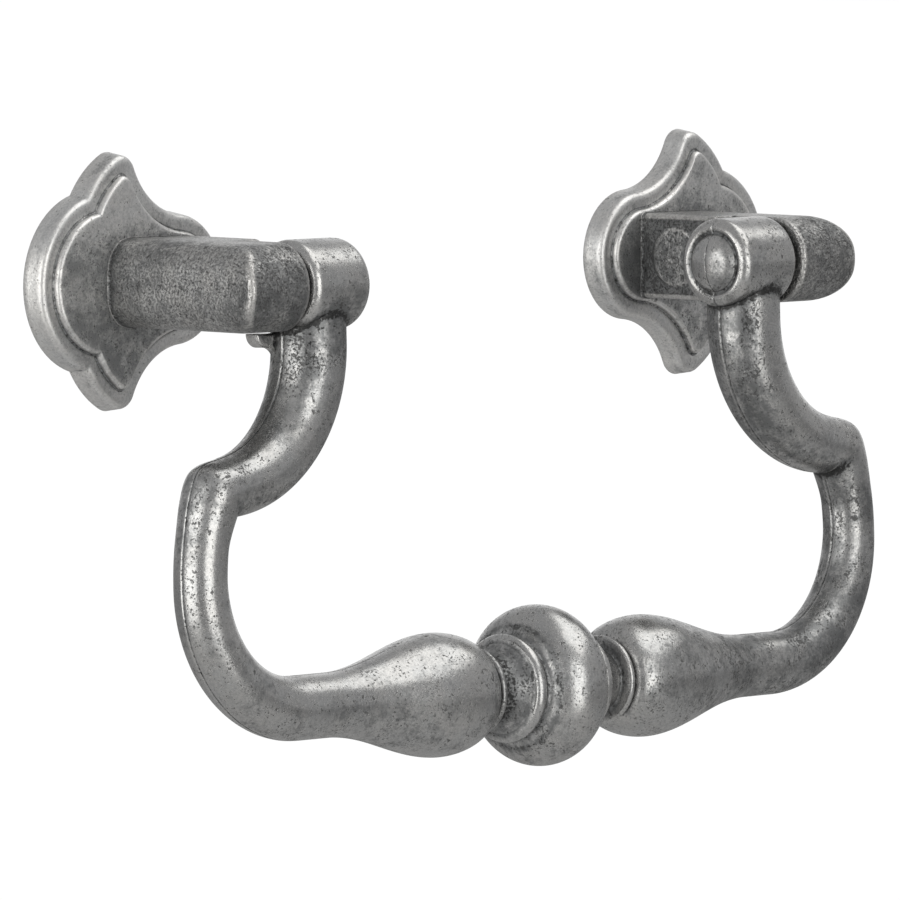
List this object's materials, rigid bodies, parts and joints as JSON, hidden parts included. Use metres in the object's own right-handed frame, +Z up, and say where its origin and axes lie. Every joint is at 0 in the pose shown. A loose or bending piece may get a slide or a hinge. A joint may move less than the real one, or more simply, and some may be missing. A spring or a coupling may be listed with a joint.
{
  "type": "cabinet handle",
  "caption": "Swan-neck drop handle in antiqued cast metal: a bail with a turned grip hangs from posts on shaped backplates and swings up.",
  "frame": {"origin": "midway between the two fixing holes, on the wall plane behind the backplates", "axes": "+Y into the drawer front, +X along the handle to the right, +Z up; the handle stands out towards -Y"},
  "size_m": [0.1248, 0.0311, 0.0712],
  "materials": {
    "antique_pewter": "antiqued, burnished on the high parts",
    "pin_steel": "plain drawn steel"
  },
  "bodies": {
    "mount": {"backplate_left": "antique_pewter", "backplate_right": "antique_pewter", "post_left": "antique_pewter", "post_right": "antique_pewter", "pivot_pin_left": "pin_steel", "pivot_pin_right": "pin_steel"},
    "bail": {"bail": "antique_pewter"}
  },
  "joints": [
    {"name": "bail_swing", "type": "hinge", "parent": "mount", "child": "bail", "pos_m": [0, -0.0203, 0], "axis": [-1, 0, 0], "range_deg": [0, 187]}
  ]
}
